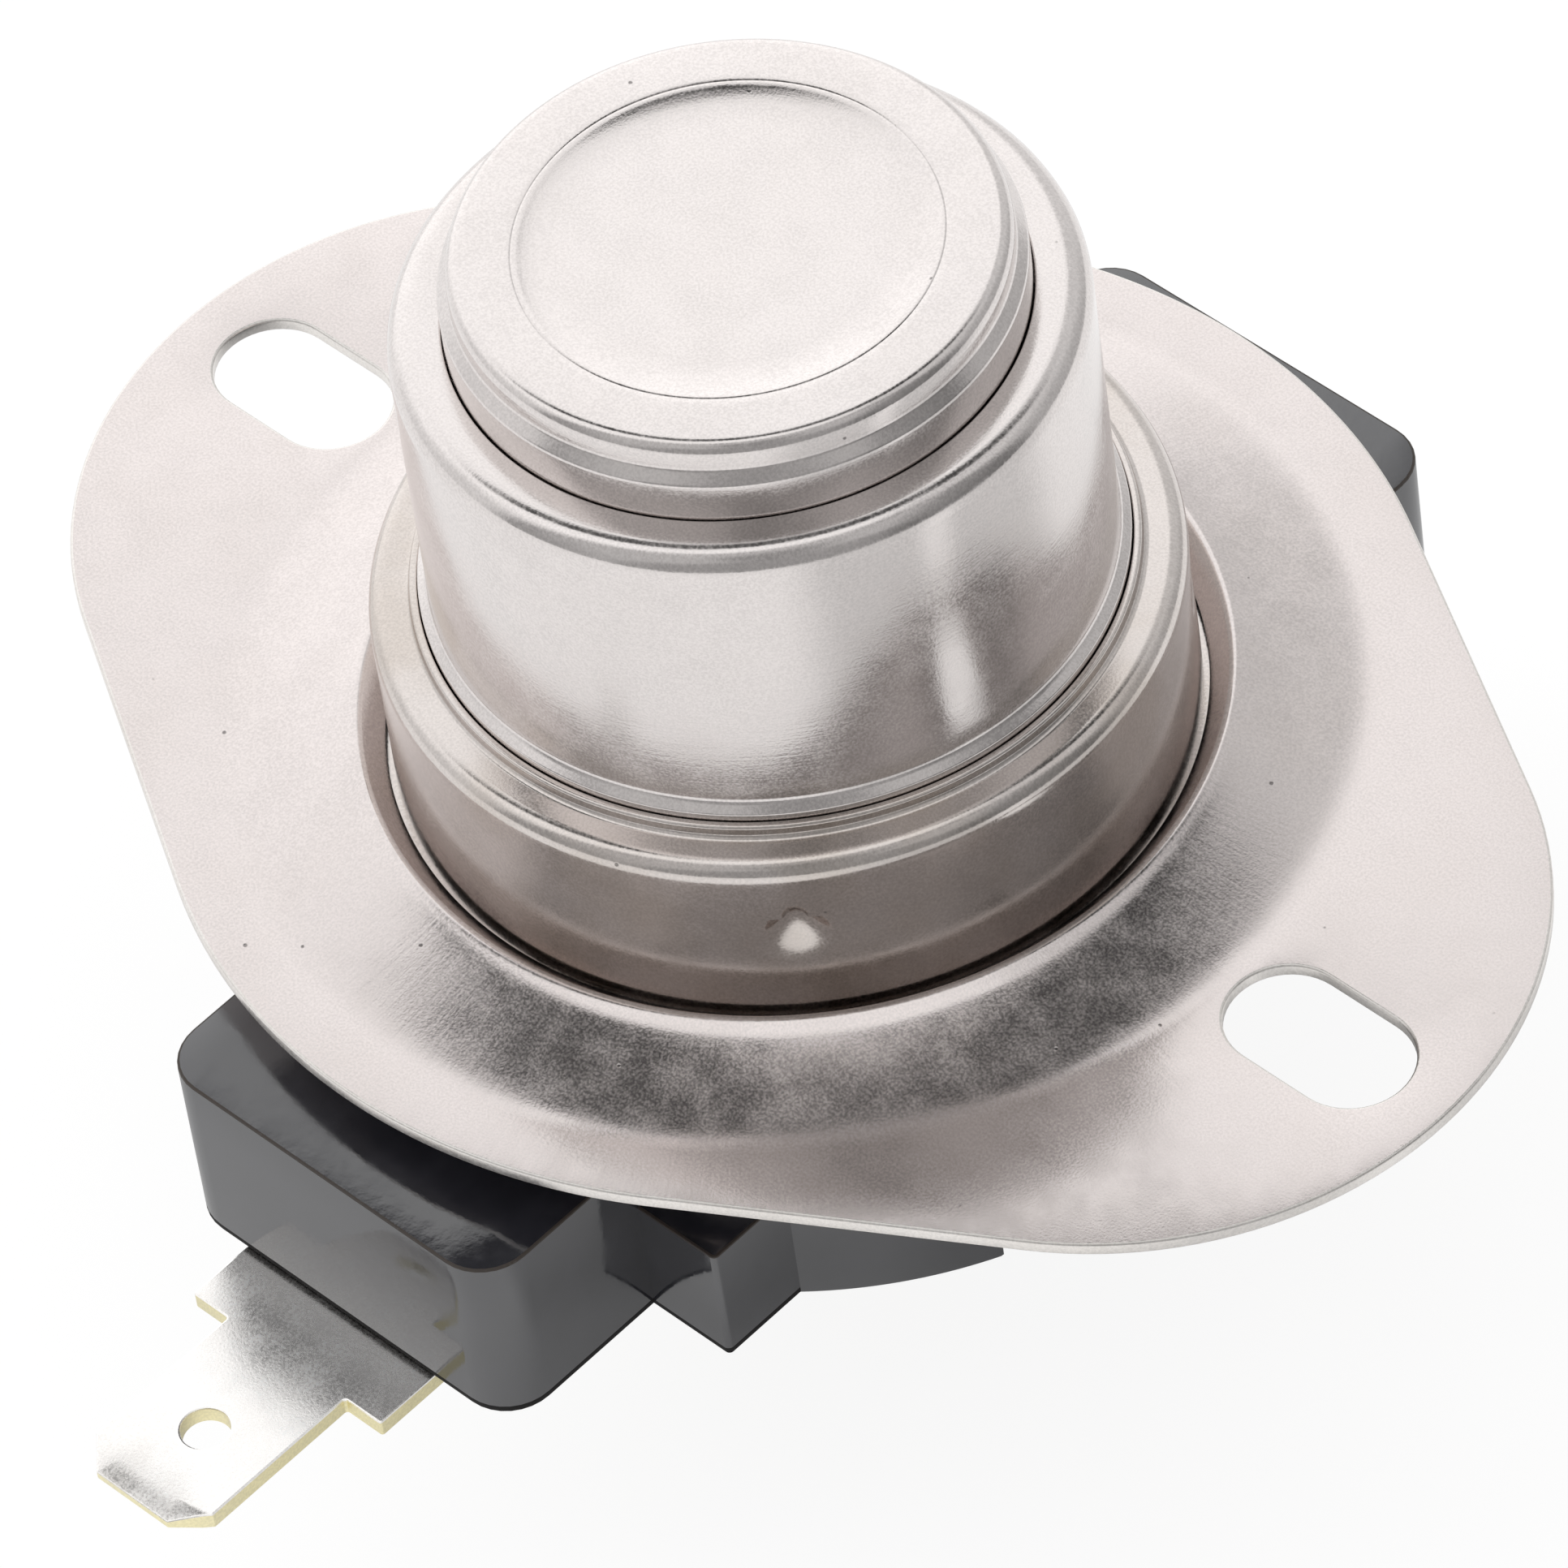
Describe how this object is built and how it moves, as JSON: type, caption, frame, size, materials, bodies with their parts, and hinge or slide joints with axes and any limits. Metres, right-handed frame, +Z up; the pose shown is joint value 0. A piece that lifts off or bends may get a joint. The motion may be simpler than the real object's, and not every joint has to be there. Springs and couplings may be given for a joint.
{
  "type": "bimetal thermostat",
  "caption": "Snap-disc bimetal thermostat: stepped metal sensing cap on a slotted oval flange, with a moulded switch base and spade terminals behind the flange.",
  "frame": {"origin": "where the sensing cap's axis meets the flat top face of the flange, midway between the slots", "axes": "+Z up along the cap's axis to the sensing end, X along the line of the slots, -Y towards the front terminal"},
  "size_m": [0.066, 0.0665, 0.0481],
  "materials": {
    "plated_steel": "drawn, semi-bright",
    "bimetal": "rolled, satin",
    "brown_phenolic": "moulded",
    "cream_insulator": "matt",
    "ceramic": "ground",
    "black_phenolic": "moulded, semi-gloss",
    "tinned_brass": "tinned faces",
    "copper_alloy": "spring temper",
    "silver_contact": "satin",
    "brass_strip": "stamped"
  },
  "bodies": {
    "housing": {"mounting_flange": "plated_steel", "retaining_collar": "plated_steel", "sensor_sleeve": "plated_steel", "disc_cup": "plated_steel", "bimetal_disc": "bimetal", "pin_guide": "brown_phenolic", "spacer_tube": "cream_insulator", "cavity_cover": "brown_phenolic", "switch_base": "black_phenolic", "terminal_front": "tinned_brass", "terminal_rear": "tinned_brass", "contact_bracket": "brass_strip", "fixed_contact": "silver_contact", "arm_rivet_left": "brass_strip", "arm_rivet_right": "brass_strip", "bracket_rivet_left": "brass_strip", "bracket_rivet_right": "brass_strip"},
    "pin": {"transfer_pin": "ceramic"},
    "arm": {"contact_arm": "copper_alloy", "moving_contact": "silver_contact"}
  },
  "joints": [
    {"name": "pin_slide", "type": "slide", "parent": "housing", "child": "pin", "axis": [0, 0, -1], "range_m": [0, 0.0005], "stiffness_N_per_m": 800, "deforming": ["bimetal_disc"]},
    {"name": "arm_flex", "type": "hinge", "parent": "housing", "child": "arm", "pos_m": [0, -0.007, -0.00625], "axis": [-1, 0, 0], "range_deg": [0, 4.2], "deforming": ["contact_arm"]}
  ],
  "couplings": [
    {"joint": "arm_flex", "follows": "pin_slide", "rad_per_m": 142.86}
  ]
}
